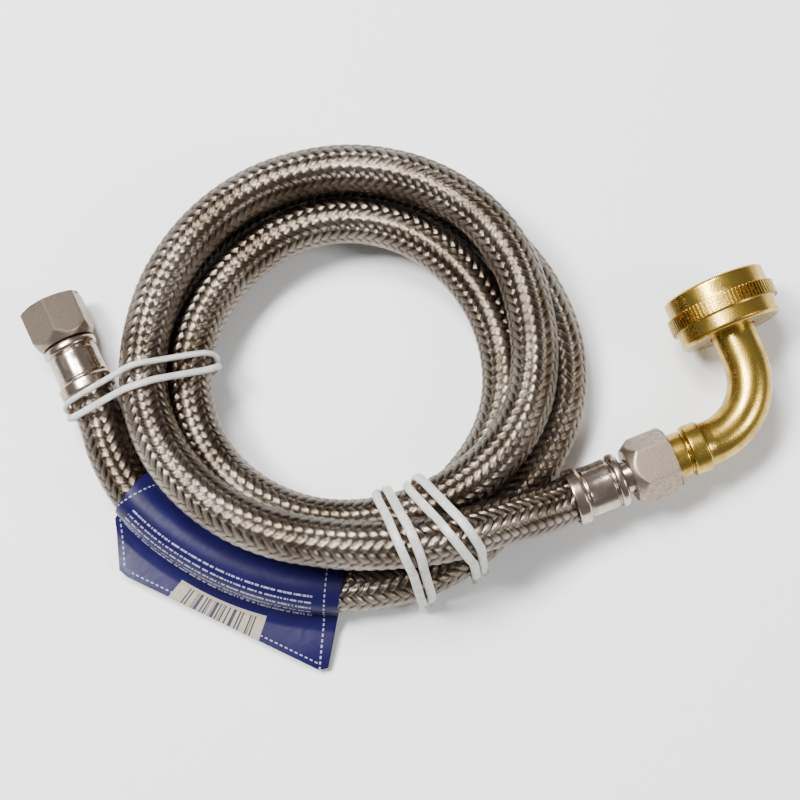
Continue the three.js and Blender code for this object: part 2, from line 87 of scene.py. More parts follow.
NUT_SLIP = {"inlet": 0.0003, "outlet": 0.0022}
FERRULE_LENGTH = 0.0158
ELBOW_BEND = 0.0190
BEND_START = 0.0434
SWIVEL_AXIS_X = BEND_START + ELBOW_BEND
SWIVEL_START = 0.0273


def placed(point):
    return COIL_CENTRE + Vector(point)


def direction(turn):
    return Vector((math.cos(math.radians(turn)), math.sin(math.radians(turn)), 0.0))


# ---------------------------------------------------------------- camera
VIEW_CENTRE = Vector((-0.0072, -0.0006, 0.0123))
VIEW_FROM = Vector((-0.0650, -0.1610, 0.9848))
VIEW_UP = Vector((0.375, 0.927, 0.0))
VIEW_DISTANCE = 0.52
camera = bpy.data.objects.new("camera", bpy.data.cameras.new("camera"))
bpy.context.scene.collection.objects.link(camera)
back = VIEW_FROM.normalized()
right = VIEW_UP.cross(back).normalized()
camera.matrix_world = Matrix.Translation(VIEW_CENTRE + back * VIEW_DISTANCE) @ Matrix(
    (right, back.cross(right), back)).transposed().to_4x4()
camera.data.sensor_width = 36
camera.data.lens = 80.7
bpy.context.scene.camera = camera


# ---------------------------------------------------------------- the hose's route
def smooth_route(points, per_span):
    """A smooth curve through the points, spaced by the square root of their distances."""
    points = [np.array(p, float) for p in points]
    points = [2 * points[0] - points[1]] + points + [2 * points[-1] - points[-2]]
    out = []
    for a, b, c, d in zip(points, points[1:], points[2:], points[3:]):
        ab, bc, cd = (math.sqrt(np.linalg.norm(q - p)) or 1.0 for p, q in ((a, b), (b, c), (c, d)))
        start = ((b - a) / ab - (c - a) / (ab + bc) + (c - b) / bc) * bc
        end = ((c - b) / bc - (d - b) / (bc + cd) + (d - c) / cd) * bc
        for i in range(per_span):
            t = i / per_span
            out.append(b * (2 * t**3 - 3 * t**2 + 1) + c * (3 * t**2 - 2 * t**3)
                       + start * (t**3 - 2 * t**2 + t) + end * (t**3 - t**2))
    return np.array(out + [points[-2]])


def respaced(line, count):
    """The same line as `count` points at equal distances along it."""
    steps = np.linalg.norm(np.diff(line, axis=0), axis=1)
    along = np.concatenate([[0.0], np.cumsum(steps)])
    wanted = np.linspace(0, along[-1], count)
    return np.stack([np.interp(wanted, along, line[:, i]) for i in range(3)], axis=1), along[-1]


def hose_route():
    inlet, outlet = placed(INLET_AT), placed(OUTLET_AT)
    points = [inlet + direction(INLET_TURN) * HOSE_INSERT, inlet, *map(placed, INLET_LEAD)]
    for turn, radius, height in COIL:
        out = direction(turn) * radius * MM
        points.append(placed((out.x, out.y, height * MM)))
    points += [*map(placed, OUTLET_LEAD), outlet, outlet + direction(0) * HOSE_INSERT]
    return respaced(smooth_route(points, 24), 2400)


ROUTE, ROUTE_LENGTH = hose_route()
THINNED_ROUTE = np.vstack([ROUTE[::4], ROUTE[-1:]])


# ---------------------------------------------------------------- mesh making
def new_object(name, mesh):
    piece = bpy.data.objects.new(name, mesh)
    bpy.context.scene.collection.objects.link(piece)
    return piece


def finished(name, vertices, faces, material, uv=None, sharp=32):
    """A plain smooth-shaded mesh piece; uv holds one pair for each vertex."""
    mesh = bpy.data.meshes.new(name)
    mesh.from_pydata([tuple(v) for v in vertices], [], faces)
    mesh.polygons.foreach_set("use_smooth", [True] * len(mesh.polygons))
    mesh.set_sharp_from_angle(angle=math.radians(sharp))
    if uv is not None:
        layer = mesh.uv_layers.new(name="UVMap")
        index = np.zeros(len(mesh.loops), int)
        mesh.loops.foreach_get("vertex_index", index)
        layer.data.foreach_set("uv", np.array(uv, float)[index].ravel())
    mesh.materials.append(material)
    mesh.validate()
    return new_object(name, mesh)


def grid_faces(rows, columns, wrap_rows=False, wrap_columns=True):
    faces = []
    for i in range(rows if wrap_rows else rows - 1):
        for j in range(columns if wrap_columns else columns - 1):
            a, b = (i % rows) * columns, ((i + 1) % rows) * columns
            k = (j + 1) % columns
            faces.append((a + j, a + k, b + k, b + j))
    return faces


def straight(origin, axis):
    """Frames along a level straight axis: point, side and up at each distance."""
    origin, axis, up = Vector(origin), Vector(axis).normalized(), Vector((0, 0, 1))
    side = up.cross(axis).normalized()
    return lambda along: (origin + axis * along, side, axis.cross(side))


def elbow_line(origin):
    """Frames along the elbow: straight along +X, a quarter bend to the left, then along +Y."""
    origin, arc = Vector(origin), ELBOW_BEND * math.pi / 2

    def at(along):
        turn = min(max((along - BEND_START) / arc, 0.0), 1.0) * math.pi / 2
        lead, tail = min(along, BEND_START), max(along - BEND_START - arc, 0.0)
        point = Vector((lead + ELBOW_BEND * math.sin(turn), ELBOW_BEND * (1 - math.cos(turn)) + tail, 0))
        axis = Vector((math.cos(turn), math.sin(turn), 0))
        side = Vector((0, 0, 1)).cross(axis)
        return origin + point, side, axis.cross(side)
    return at


def rounded(profile, radius=0.0003, steps=3):
    """Rounds each corner of a closed (along, radius, kind) profile."""
    out = []
    for i, (x, r, kind) in enumerate(profile):
        here = Vector((x, r))
        ends = []
        for other in (profile[i - 1], profile[(i + 1) % len(profile)]):
            leg = Vector(other[:2]) - here
            ends.append(here + leg.normalized() * min(radius, leg.length * 0.45))
        straightness = (ends[0] - here).normalized().dot((ends[1] - here).normalized())
        if straightness < -0.995:
            out.append((x, r, kind))
            continue
        for k in range(steps + 1):
            t = k / steps
            p = ends[0] * (1 - t) ** 2 + here * 2 * t * (1 - t) + ends[1] * t * t
            out.append((p.x, p.y, kind))
    return out


def divided(profile, longest):
    """Adds points so that no stretch of a closed profile is longer than `longest`."""
    out = []
    for i, here in enumerate(profile):
        there = profile[(i + 1) % len(profile)]
        count = max(1, math.ceil(math.dist(here[:2], there[:2]) / longest))
        kind = here[2] if here[2] == there[2] else ""
        out.append(here)
        for k in range(1, count):
            out.append((here[0] + (there[0] - here[0]) * k / count,
                        here[1] + (there[1] - here[1]) * k / count, kind))
    return out


THREAD_PITCH = {"thread": 0.00106, "hose_thread": 0.00221}
THREAD_DEPTH = {"thread": 0.00030, "hose_thread": 0.00060}


def surface_radius(kind, along, radius, angle):
    """Distance from the axis where a surface isn't simply round."""
    if kind == "hex":
        face = angle % (math.pi / 3) - math.pi / 6
        flat = NUT_FLATS / 2 / math.cos(face)
        soft = 0.00012
        return -soft * math.log(math.exp(-radius / soft) + math.exp(-flat / soft))
    if kind in THREAD_PITCH:
        phase = (along / THREAD_PITCH[kind] + angle / (2 * math.pi)) % 1.0
        return radius + THREAD_DEPTH[kind] * (abs(2 * phase - 1) - 0.5)
    if kind == "crimp":
        return radius - 0.00010 * (0.5 - 0.5 * math.cos(8 * angle)) ** 4
    return radius


def turned(name, line, profile, material, segments=64, roll=0.0, sharp=32):
    """A piece turned round a line from a closed (along, radius, kind) profile."""
    vertices = []
    for along, radius, kind in profile:
        point, side, up = line(along)
        for j in range(segments):
            angle = 2 * math.pi * j / segments
            r = surface_radius(kind, along, radius, angle)
            turn = angle + math.radians(roll)
            vertices.append(point + (side * math.cos(turn) + up * math.sin(turn)) * r)
    return finished(name, vertices, grid_faces(len(profile), segments, wrap_rows=True), material, sharp=sharp)


def loop(*points):
    """A closed profile in millimetres: (along, radius) or (along, radius, kind)."""
    return [(p[0] * MM, p[1] * MM, p[2] if len(p) > 2 else "") for p in points]


def swept(name, line, outline, material):
    """A solid cord of an (across, thick) outline along a line of points."""
    line = np.array(line, float)
    tangents = np.gradient(line, axis=0)
    tangents /= np.linalg.norm(tangents, axis=1)[:, None]
    normal = np.cross(np.cross(tangents[0], (0, 0, 1)), tangents[0])
    vertices = []
    for point, tangent in zip(line, tangents):
        normal = normal - tangent * np.dot(normal, tangent)
        normal /= np.linalg.norm(normal)
        across = np.cross(tangent, normal)
        vertices += [point + across * a + normal * t for a, t in outline]
    faces = grid_faces(len(line), len(outline))
    last = (len(line) - 1) * len(outline)
    faces.append(tuple(reversed(range(len(outline)))))
    faces.append(tuple(last + k for k in range(len(outline))))
    return finished(name, vertices, faces, material, sharp=50)


def oval(width, thickness, sides, ribs=0, depth=0.0):
    """An oval outline, with optional ribs along it."""
    out = []
    for k in range(sides):
        angle = 2 * math.pi * k / sides
        scale = 1 + depth * math.cos(ribs * angle)
        out.append((width / 2 * math.cos(angle) * scale, thickness / 2 * math.sin(angle) * scale))
    return out


# ---------------------------------------------------------------- shader groups
def node(tree, kind, inputs=(), **settings):
    made = tree.nodes.new(kind)
    for key, value in settings.items():
        setattr(made, key, value)
    for key, value in dict(inputs).items():
        socket = made.inputs[key]
        if isinstance(value, bpy.types.NodeSocket):
            tree.links.new(value, socket)
        else:
            socket.default_value = value
    return made


def math_node(tree, operation, *values, clamp=False):
    made = tree.nodes.new("ShaderNodeMath")
    made.operation, made.use_clamp = operation, clamp
    for socket, value in zip(made.inputs, values):
        if isinstance(value, bpy.types.NodeSocket):
            tree.links.new(value, socket)
        else:
            socket.default_value = value
    return made.outputs[0]


def mixed(tree, factor, one, two):
    """A colour between two, each a socket or a colour."""
    made = node(tree, "ShaderNodeMix", data_type="RGBA")
    for key, value in ((0, factor), (6, one), (7, two)):
        if isinstance(value, bpy.types.NodeSocket):
            tree.links.new(value, made.inputs[key])
        else:
            made.inputs[key].default_value = value if key == 0 else (*value[:3], 1.0)
    return made.outputs[2]


def shader_group(name, inputs, outputs):
    tree = bpy.data.node_groups.new(name, "ShaderNodeTree")
    for label, kind, value in inputs:
        socket = tree.interface.new_socket(label, in_out="INPUT", socket_type=kind)
        if value is not None:
            socket.default_value = value
    for label, kind in outputs:
        tree.interface.new_socket(label, in_out="OUTPUT", socket_type=kind)
    return tree, tree.nodes.new("NodeGroupInput"), tree.nodes.new("NodeGroupOutput")


def make_mottle():
    """Cloudy tarnish and fine speckle over a surface, by object position."""
    tree, inside, out = shader_group(
        "mottle",
        [("Vector", "NodeSocketVector", None), ("Cloud Size", "NodeSocketFloat", 160.0),
         ("Speckle Size", "NodeSocketFloat", 1500.0), ("Speckle", "NodeSocketFloat", 0.4),
         ("Light", "NodeSocketColor", (0.8, 0.8, 0.8, 1)), ("Dark", "NodeSocketColor", (0.4, 0.4, 0.4, 1)),
         ("Smooth", "NodeSocketFloat", 0.25), ("Rough", "NodeSocketFloat", 0.45)],
        [("Color", "NodeSocketColor"), ("Roughness", "NodeSocketFloat"), ("Height", "NodeSocketFloat")])
    cloud = node(tree, "ShaderNodeTexNoise", {"Vector": inside.outputs["Vector"],
                 "Scale": inside.outputs["Cloud Size"], "Detail": 4.0, "Roughness": 0.6}).outputs[0]
    speckle = node(tree, "ShaderNodeTexNoise", {"Vector": inside.outputs["Vector"],
                   "Scale": inside.outputs["Speckle Size"], "Detail": 2.0}).outputs[0]
    fine = math_node(tree, "MULTIPLY", math_node(tree, "SUBTRACT", speckle, 0.5), inside.outputs["Speckle"])
    blend = math_node(tree, "ADD", node(tree, "ShaderNodeMapRange", {
        "Value": cloud, "From Min": 0.32, "From Max": 0.68}).outputs[0],
        math_node(tree, "MULTIPLY", fine, 2.5), clamp=True)
    tree.links.new(mixed(tree, blend, inside.outputs["Dark"], inside.outputs["Light"]), out.inputs["Color"])
    tree.links.new(node(tree, "ShaderNodeMapRange", {
        "Value": blend, "To Min": inside.outputs["Rough"], "To Max": inside.outputs["Smooth"]}).outputs[0],
        out.inputs["Roughness"])
    height = math_node(tree, "ADD", fine, math_node(tree, "MULTIPLY", cloud, 0.4))
    tree.links.new(height, out.inputs["Height"])
    return tree


MOTTLE = make_mottle()


def bare_material(name, **fixed):
    made = bpy.data.materials.new(name)
    made.use_nodes = True
    shader = made.node_tree.nodes["Principled BSDF"]
    for label, value in fixed.items():
        shader.inputs[label.replace("_", " ")].default_value = value
    return made, made.node_tree, shader


def mottled(name, light, dark, smooth, rough, cloud, speckle_size, speckle, bump, **fixed):
    """A material with cloudy colour and gloss, and a fine grain in relief."""
    made, tree, shader = bare_material(name, **fixed)
    place = node(tree, "ShaderNodeTexCoord").outputs["Object"]
    group = node(tree, "ShaderNodeGroup", node_tree=MOTTLE)
    for label, value in (("Vector", place), ("Cloud Size", cloud), ("Speckle Size", speckle_size),
                         ("Speckle", speckle), ("Light", (*light, 1)), ("Dark", (*dark, 1)),
                         ("Smooth", smooth), ("Rough", rough)):
        if isinstance(value, bpy.types.NodeSocket):
            tree.links.new(value, group.inputs[label])
        else:
            group.inputs[label].default_value = value
    relief = node(tree, "ShaderNodeBump", {"Height": group.outputs["Height"], "Strength": bump,
                  "Distance": 0.0001})
    tree.links.new(group.outputs["Color"], shader.inputs["Base Color"])
    tree.links.new(group.outputs["Roughness"], shader.inputs["Roughness"])
    tree.links.new(relief.outputs[0], shader.inputs["Normal"])
    return made


polished_nickel = mottled("polished_nickel", (0.52, 0.43, 0.36), (0.30, 0.235, 0.19), 0.16, 0.30,
                          260, 1800, 0.5, 0.25, Metallic=1.0)
satin_nickel = mottled("satin_nickel", (0.33, 0.265, 0.21), (0.22, 0.17, 0.13), 0.36, 0.50,
                       900, 3400, 1.1, 0.35, Metallic=1.0)
satin_brass = mottled("satin_brass", (0.56, 0.385, 0.085), (0.33, 0.205, 0.035), 0.20, 0.34,
                      190, 2200, 0.7, 0.5, Metallic=1.0)
bright_brass = mottled("bright_brass", (0.57, 0.40, 0.10), (0.35, 0.22, 0.045), 0.17, 0.30,
                       240, 2000, 0.6, 0.3, Metallic=1.0)
black_rubber = mottled("black_rubber", (0.035, 0.035, 0.037), (0.012, 0.012, 0.013), 0.62, 0.85,
                       500, 3000, 0.6, 0.5, Metallic=0.0)
tie_plastic = mottled("tie_plastic", (0.60, 0.58, 0.55), (0.43, 0.41, 0.385), 0.36, 0.54,
                      300, 1500, 0.5, 0.4, Metallic=0.0, Subsurface_Weight=0.08)
liner_vinyl = mottled("liner_vinyl", (0.020, 0.018, 0.015), (0.008, 0.007, 0.006), 0.5, 0.7,
                      500, 2500, 0.5, 0.3, Metallic=0.0)


def make_braid_wire():
    """Flat band of fine stainless wires: UV u runs along the strand, v across it."""
    made, tree, shader = bare_material("braid_wire", Metallic=1.0)
    uv = node(tree, "ShaderNodeUVMap", uv_map="UVMap").outputs[0]
    split = node(tree, "ShaderNodeSeparateXYZ", {"Vector": uv})
    across, along = split.outputs[1], split.outputs[0]
    wave = math_node(tree, "COSINE", math_node(tree, "MULTIPLY", across, 2 * math.pi * WIRES_PER_STRAND))
    wires = math_node(tree, "MULTIPLY_ADD", wave, -0.5, 0.5)
    # Painted shade: the colour darkens from the middle of the strand towards both edges, where it rolls under
    # its neighbours.
    edge = math_node(tree, "ABSOLUTE", math_node(tree, "SUBTRACT", across, 0.5))
    shade = node(tree, "ShaderNodeMapRange", {"Value": edge, "From Min": 0.28, "From Max": 0.5,
                 "To Min": 1.0, "To Max": 0.25}).outputs[0]
    which = node(tree, "ShaderNodeCombineXYZ", {"X": math_node(tree, "MULTIPLY", along, 120.0),
                 "Y": math_node(tree, "MULTIPLY", across, WIRES_PER_STRAND)}).outputs[0]
    streak = node(tree, "ShaderNodeTexNoise", {"Vector": which, "Scale": 1.0, "Detail": 2.0}).outputs[0]
    place = node(tree, "ShaderNodeTexCoord").outputs["Object"]
    stain = node(tree, "ShaderNodeTexNoise", {"Vector": place, "Scale": 70.0, "Detail": 3.0}).outputs[0]
    warm = mixed(tree, node(tree, "ShaderNodeMapRange", {"Value": stain, "From Min": 0.35,
                 "From Max": 0.65}).outputs[0], (0.17, 0.128, 0.092), (0.34, 0.285, 0.23))
    # Brightness is painted shade at the strand edges and between the wires, times a random streak along each
    # wire.
    bright = math_node(tree, "MULTIPLY", shade, math_node(tree, "MULTIPLY_ADD", wires, 0.45, 0.55))
    bright = math_node(tree, "MULTIPLY", bright, math_node(tree, "MULTIPLY_ADD", streak, 0.8, 0.55))
    # The near-black colour is the painted shade; the warm colour is the wire's own stained tone.
    colour = mixed(tree, math_node(tree, "MINIMUM", bright, 1.0), (0.010, 0.008, 0.006), warm)
    tree.links.new(colour, shader.inputs["Base Color"])
    tree.links.new(math_node(tree, "MULTIPLY_ADD", streak, 0.22, 0.12), shader.inputs["Roughness"])
    relief = node(tree, "ShaderNodeBump", {"Height": wires, "Strength": 0.6, "Distance": 0.00012})
    tree.links.new(relief.outputs[0], shader.inputs["Normal"])
    return made


braid_wire = make_braid_wire()


# ---------------------------------------------------------------- geometry node trees
def tree_of(name, inputs):
    tree = bpy.data.node_groups.new(name, "GeometryNodeTree")
    for label, kind in inputs:
        tree.interface.new_socket(label, in_out="INPUT", socket_type=kind)
    tree.interface.new_socket("Geometry", in_out="OUTPUT", socket_type="NodeSocketGeometry")
    return tree, tree.nodes.new("NodeGroupInput").outputs, tree.nodes.new("NodeGroupOutput")


def vector_node(tree, operation, *values):
    made = tree.nodes.new("ShaderNodeVectorMath")
    made.operation = operation
    for socket, value in zip(made.inputs, values):
        tree.links.new(value, socket)
    return made.outputs[0]


def scaled(tree, vector, factor):
    made = tree.nodes.new("ShaderNodeVectorMath")
    made.operation = "SCALE"
    tree.links.new(vector, made.inputs[0])
    tree.links.new(factor, made.inputs["Scale"])
    return made.outputs[0]


def strand_tree():
    """One hand of the braid: flat strands wound on a curve, over two and under two."""
    tree, given, out = tree_of("braid_strands", [
        ("Route", "NodeSocketGeometry"), ("Length", "NodeSocketFloat"), ("Radius", "NodeSocketFloat"),
        ("Strands", "NodeSocketInt"), ("Width", "NodeSocketFloat"), ("Lift", "NodeSocketFloat"),
        ("Crown", "NodeSocketFloat"), ("Angle", "NodeSocketFloat"), ("Hand", "NodeSocketFloat"),
        ("Samples", "NodeSocketInt"), ("Wire", "NodeSocketMaterial")])

    def calc(operation, *values):
        return math_node(tree, operation, *values)

    ribbon = node(tree, "GeometryNodeMeshGrid", {"Size X": 1.0, "Size Y": 1.0,
                  "Vertices X": given["Samples"], "Vertices Y": 5}).outputs["Mesh"]
    starts = node(tree, "GeometryNodeMeshLine", {"Count": given["Strands"],
                  "Offset": (0.0, 0.0, 0.0)}).outputs["Mesh"]
    numbered = node(tree, "GeometryNodeStoreNamedAttribute", {"Geometry": starts, "Name": "strand",
                    "Value": node(tree, "GeometryNodeInputIndex").outputs[0]},
                    data_type="FLOAT", domain="POINT").outputs[0]
    many = node(tree, "GeometryNodeInstanceOnPoints", {"Points": numbered, "Instance": ribbon}).outputs[0]
    real = node(tree, "GeometryNodeRealizeInstances", {"Geometry": many}).outputs[0]
    number = node(tree, "GeometryNodeInputNamedAttribute", {"Name": "strand"},
                  data_type="FLOAT").outputs[0]
    place = node(tree, "ShaderNodeSeparateXYZ",
                 {"Vector": node(tree, "GeometryNodeInputPosition").outputs[0]}).outputs
    run = calc("MULTIPLY", calc("ADD", place[0], 0.5), given["Length"])
    across = calc("MULTIPLY", place[1], given["Width"])
    turn_rate = calc("DIVIDE", calc("TANGENT", given["Angle"]), given["Radius"])
    spacing = calc("DIVIDE", 2 * math.pi, given["Strands"])
    winding = calc("MULTIPLY", calc("MULTIPLY", run, turn_rate), given["Hand"])
    along = calc("SUBTRACT", run, calc("MULTIPLY", calc("MULTIPLY", across, given["Hand"]),
                                       calc("SINE", given["Angle"])))
    angle = calc("ADD", calc("ADD", calc("MULTIPLY", number, spacing), winding),
                 calc("DIVIDE", calc("MULTIPLY", across, calc("COSINE", given["Angle"])), given["Radius"]))
    crossing = calc("ADD", calc("MULTIPLY", number, 2.0),
                    calc("DIVIDE", calc("MULTIPLY", winding, 2.0), spacing))
    over = calc("COSINE", calc("MULTIPLY", calc("SUBTRACT", crossing, 0.5), math.pi / 2))
    steep = calc("MULTIPLY", calc("MULTIPLY", over, given["Hand"]), 1.5)
    over = calc("MINIMUM", calc("MAXIMUM", steep, -1.0), 1.0)
    edge = calc("POWER", calc("ABSOLUTE", calc("MULTIPLY", place[1], 2.0)), 2.0)
    radius = calc("SUBTRACT", calc("ADD", given["Radius"], calc("MULTIPLY", over, given["Lift"])),
                  calc("MULTIPLY", edge, given["Crown"]))
    level = node(tree, "GeometryNodeSetCurveNormal", {"Curve": given["Route"]}, mode="Z_UP").outputs[0]
    sample = node(tree, "GeometryNodeSampleCurve", {"Curves": level, "Length": along}, mode="LENGTH").outputs
    binormal = vector_node(tree, "CROSS_PRODUCT", sample["Tangent"], sample["Normal"])
    spoke = vector_node(tree, "ADD", scaled(tree, sample["Normal"], calc("COSINE", angle)),
                        scaled(tree, binormal, calc("SINE", angle)))
    spot = vector_node(tree, "ADD", sample["Position"], scaled(tree, spoke, radius))
    marked = node(tree, "GeometryNodeStoreNamedAttribute", {"Geometry": real, "Name": "UVMap",
                  "Value": node(tree, "ShaderNodeCombineXYZ",
                                {"X": run, "Y": calc("ADD", place[1], 0.5)}).outputs[0]},
                  data_type="FLOAT2", domain="CORNER").outputs[0]
    wound = node(tree, "GeometryNodeSetPosition", {"Geometry": marked, "Position": spot}).outputs[0]
    smooth = node(tree, "GeometryNodeSetShadeSmooth", {"Geometry": wound}).outputs[0]
    whole = node(tree, "GeometryNodeRealizeInstances", {"Geometry": smooth}).outputs[0]
    tree.links.new(node(tree, "GeometryNodeSetMaterial", {"Geometry": whole,
                   "Material": given["Wire"]}).outputs[0], out.inputs[0])
    return tree


def knurl_tree():
    """Square-cut ridges standing in a ring round the Z axis."""
    tree, given, out = tree_of("knurl_ridges", [
        ("Base", "NodeSocketGeometry"), ("Ridges", "NodeSocketInt"), ("Radius", "NodeSocketFloat"),
        ("Ridge Size", "NodeSocketVector"), ("Metal", "NodeSocketMaterial")])
    ring = node(tree, "GeometryNodeMeshCircle", {"Vertices": given["Ridges"], "Radius": given["Radius"]},
                fill_type="NONE").outputs[0]
    ridge = node(tree, "GeometryNodeMeshCube", {"Size": given["Ridge Size"]}).outputs[0]
    turn = math_node(tree, "MULTIPLY", node(tree, "GeometryNodeInputIndex").outputs[0],
                     math_node(tree, "DIVIDE", 2 * math.pi, given["Ridges"]))
    facing = node(tree, "ShaderNodeCombineXYZ", {"Z": turn}).outputs[0]
    around = node(tree, "GeometryNodeInstanceOnPoints", {"Points": ring, "Instance": ridge,
                  "Rotation": facing}).outputs[0]
    whole = node(tree, "GeometryNodeRealizeInstances", {"Geometry": around}).outputs[0]
    tree.links.new(node(tree, "GeometryNodeSetMaterial", {"Geometry": whole,
                   "Material": given["Metal"]}).outputs[0], out.inputs[0])
    return tree


def grown(name, tree, base, values, matrix=None):
    """Runs a tree over a base object and keeps the result as one plain mesh."""
    modifier = base.modifiers.new(name, "NODES")
    modifier.node_group = tree
    sockets = {item.name: item.identifier for item in tree.interface.items_tree if item.in_out == "INPUT"}
    for label, value in values.items():
        modifier[sockets[label]] = value
    bpy.context.view_layer.update()
    mesh = bpy.data.meshes.new_from_object(base.evaluated_get(bpy.context.evaluated_depsgraph_get()))
    base.modifiers.remove(modifier)
    bpy.data.objects.remove(base)
    mesh.name = name
    if matrix is not None:
        mesh.transform(matrix)
    return new_object(name, mesh)


def route_curve(points):
    data = bpy.data.curves.new("route", "CURVE")
    data.dimensions = "3D"
    spline = data.splines.new("POLY")
    spline.points.add(len(points) - 1)
    spline.points.foreach_set("co", np.hstack([points, np.ones((len(points), 1))]).ravel())
    return new_object("route", data)


# ---------------------------------------------------------------- hose
def make_hose():
    core = swept("hose_core", THINNED_ROUTE, oval(2 * CORE_RADIUS, 2 * CORE_RADIUS, 20), liner_vinyl)
    tree = strand_tree()
    hands = []
    for name, hand in (("braid_right_hand", 1.0), ("braid_left_hand", -1.0)):
        hands.append(grown(name, tree, route_curve(ROUTE), {
            "Length": ROUTE_LENGTH, "Radius": BRAID_RADIUS, "Strands": CARRIERS, "Width": STRAND_WIDTH,
            "Lift": STRAND_LIFT, "Crown": STRAND_CROWN, "Angle": BRAID_ANGLE, "Hand": hand,
            "Samples": STRAND_SAMPLES, "Wire": braid_wire}))
    return core, hands


hose_core, braid = make_hose()


# ---------------------------------------------------------------- fittings
def fitting_line(end):
    if end == "inlet":
        return straight(placed(INLET_AT), direction(INLET_TURN))
    return straight(placed(OUTLET_AT), direction(0))


def make_ferrule(end):
    profile = rounded(loop(
        (0.0, 7.25), (0.0, 8.05), (0.5, 8.3), (3.2, 8.3), (3.7, 7.9), (3.9, 7.3), (4.4, 7.3), (4.7, 7.55),
        (5.2, 7.45, "crimp"), (6.5, 7.35, "crimp"), (9.5, 7.3, "crimp"), (11.8, 7.4, "crimp"),
        (12.3, 7.35), (12.5, 6.85), (13.0, 6.85), (13.2, 7.6), (13.8, 7.95), (15.0, 7.95),
        (15.6, 7.5), (15.8, 6.9), (15.8, 4.9), (14.4, 4.9), (14.4, 6.3), (1.2, 6.3), (1.2, 7.25)),
        0.00025)
    return turned(f"{end}_crimp_ferrule", fitting_line(end), divided(profile, 0.0008), polished_nickel, 96)


def make_nut(end, roll):
    start = (FERRULE_LENGTH + NUT_SLIP[end]) / MM
    end_at = start + 13.0
    corner = NUT_FLATS / MM / math.sqrt(3) + 0.05
    outside = loop(
        (start, 5.0), (start, 7.7), (start + 0.5, 8.05, "hex"), (start + 3.4, corner + 0.1, "hex"),
        (end_at - 0.5, corner + 0.1, "hex"), (end_at, 9.2, "hex"), (end_at, 7.75), (end_at - 0.6, 7.15),
        (end_at - 0.7, 7.2, "thread"), (start + 3.2, 7.2, "thread"), (start + 2.6, 7.1), (start + 2.6, 5.0))
    return turned(f"{end}_hex_nut", fitting_line(end), divided(rounded(outside, 0.00012, 2), 0.00026),
                  satin_nickel, 144, roll=roll, sharp=28)


def make_elbow():
    origin = placed(OUTLET_AT)
    tail = (BEND_START + ELBOW_BEND * math.pi / 2) / MM + 8.3
    outside = rounded(loop(
        (27.2, 4.6), (27.2, 6.7), (34.9, 6.7), (35.2, 6.5), (35.3, 6.1), (35.9, 6.1), (36.0, 7.0),
        (36.5, 7.5), (40.9, 7.5), (41.1, 6.75), (43.4, 6.5), (45, 6.5), (50, 6.5), (60, 6.5), (70, 6.5),
        (tail + 2.9, 6.5), (tail + 3.3, 6.8), (tail + 3.3, 11.6), (tail + 5.3, 11.6), (tail + 5.3, 4.6),
        (60, 4.6), (45, 4.6)), 0.0003)
    return turned("brass_elbow", elbow_line(origin), divided(outside, 0.0009), satin_brass, 72)


def make_swivel_nut():
    line = straight(placed(OUTLET_AT) + Vector((SWIVEL_AXIS_X, 0, 0)), (0, 1, 0))
    s = SWIVEL_START / MM
    outside = loop(
        (s, 6.85), (s, 14.4), (s + 0.7, 15.1), (s + 5.05, 15.1), (s + 5.1, 15.35), (s + 9.6, 15.35),
        (s + 9.65, 15.1), (s + 14.2, 15.1), (s + 14.8, 14.5), (s + 14.8, 13.75), (s + 14.2, 13.3),
        (s + 14.1, 13.35, "hose_thread"), (s + 4.2, 13.35, "hose_thread"), (s + 3.0, 13.2), (s + 3.0, 6.85))
    nut = turned("knurled_swivel_nut", line, divided(rounded(outside, 0.0003), 0.0005), satin_brass, 128)
    middle = placed(OUTLET_AT) + Vector((SWIVEL_AXIS_X, SWIVEL_START + 0.00735, 0))
    knurl = grown("swivel_nut_knurl", knurl_tree(), new_object("ring", bpy.data.meshes.new("ring")), {
        "Ridges": 84, "Radius": 0.01570, "Ridge Size": (0.00110, 0.00066, 0.0043), "Metal": satin_brass},
        Matrix.Translation(middle) @ Matrix.Rotation(math.pi / 2, 4, "X"))
    return nut, knurl


def make_small_parts():
    """Stems, seals and the hose washer, which show in the mouths of the nuts."""
    made = {}
    for end in ("inlet", "outlet"):
        line, start = fitting_line(end), (FERRULE_LENGTH + NUT_SLIP[end]) / MM + 2.9
        stem = loop((14.9, 3.4), (14.9, 4.7), (start, 4.7), (start, 6.5), (start + 2.2, 6.5),
                    (start + 2.2, 4.7), (start + 3.8, 4.7), (start + 3.8, 3.4))
        seal = loop((start + 2.5, 5.0), (start + 2.5, 6.5), (start + 5.7, 5.4), (start + 5.7, 5.0))
        for name, profile, finish in ((f"{end}_stem_nose", rounded(stem, 0.0002), polished_nickel),
                                      (f"{end}_cone_seal", rounded(seal, 0.00018), black_rubber)):
            made[name] = turned(name, line, profile, finish, 56)
    line = straight(placed(OUTLET_AT) + Vector((SWIVEL_AXIS_X, 0, 0)), (0, 1, 0))
    washer = rounded(loop((32.9, 5.2), (32.9, 13.0), (35.5, 13.0), (35.5, 5.2)), 0.0005)
    made["flat_washer"] = turned("flat_washer", line, washer, black_rubber, 72)
    return made


# ---------------------------------------------------------------- ties
def crossings(at, outward, facing, reach=0.030):
    """Where the hose crosses an upright plane: distance outwards and height."""
    offset = ROUTE - np.array(at)
    front = offset @ np.array(facing)
    out = []
    for i in np.nonzero(front[:-1] * front[1:] <= 0)[0]:
        spot = offset[i] + (offset[i + 1] - offset[i]) * front[i] / (front[i] - front[i + 1])
        w = float(spot @ np.array(outward))
        if abs(w) < reach:
            out.append((w, float(spot[2] + at[2])))
    return out


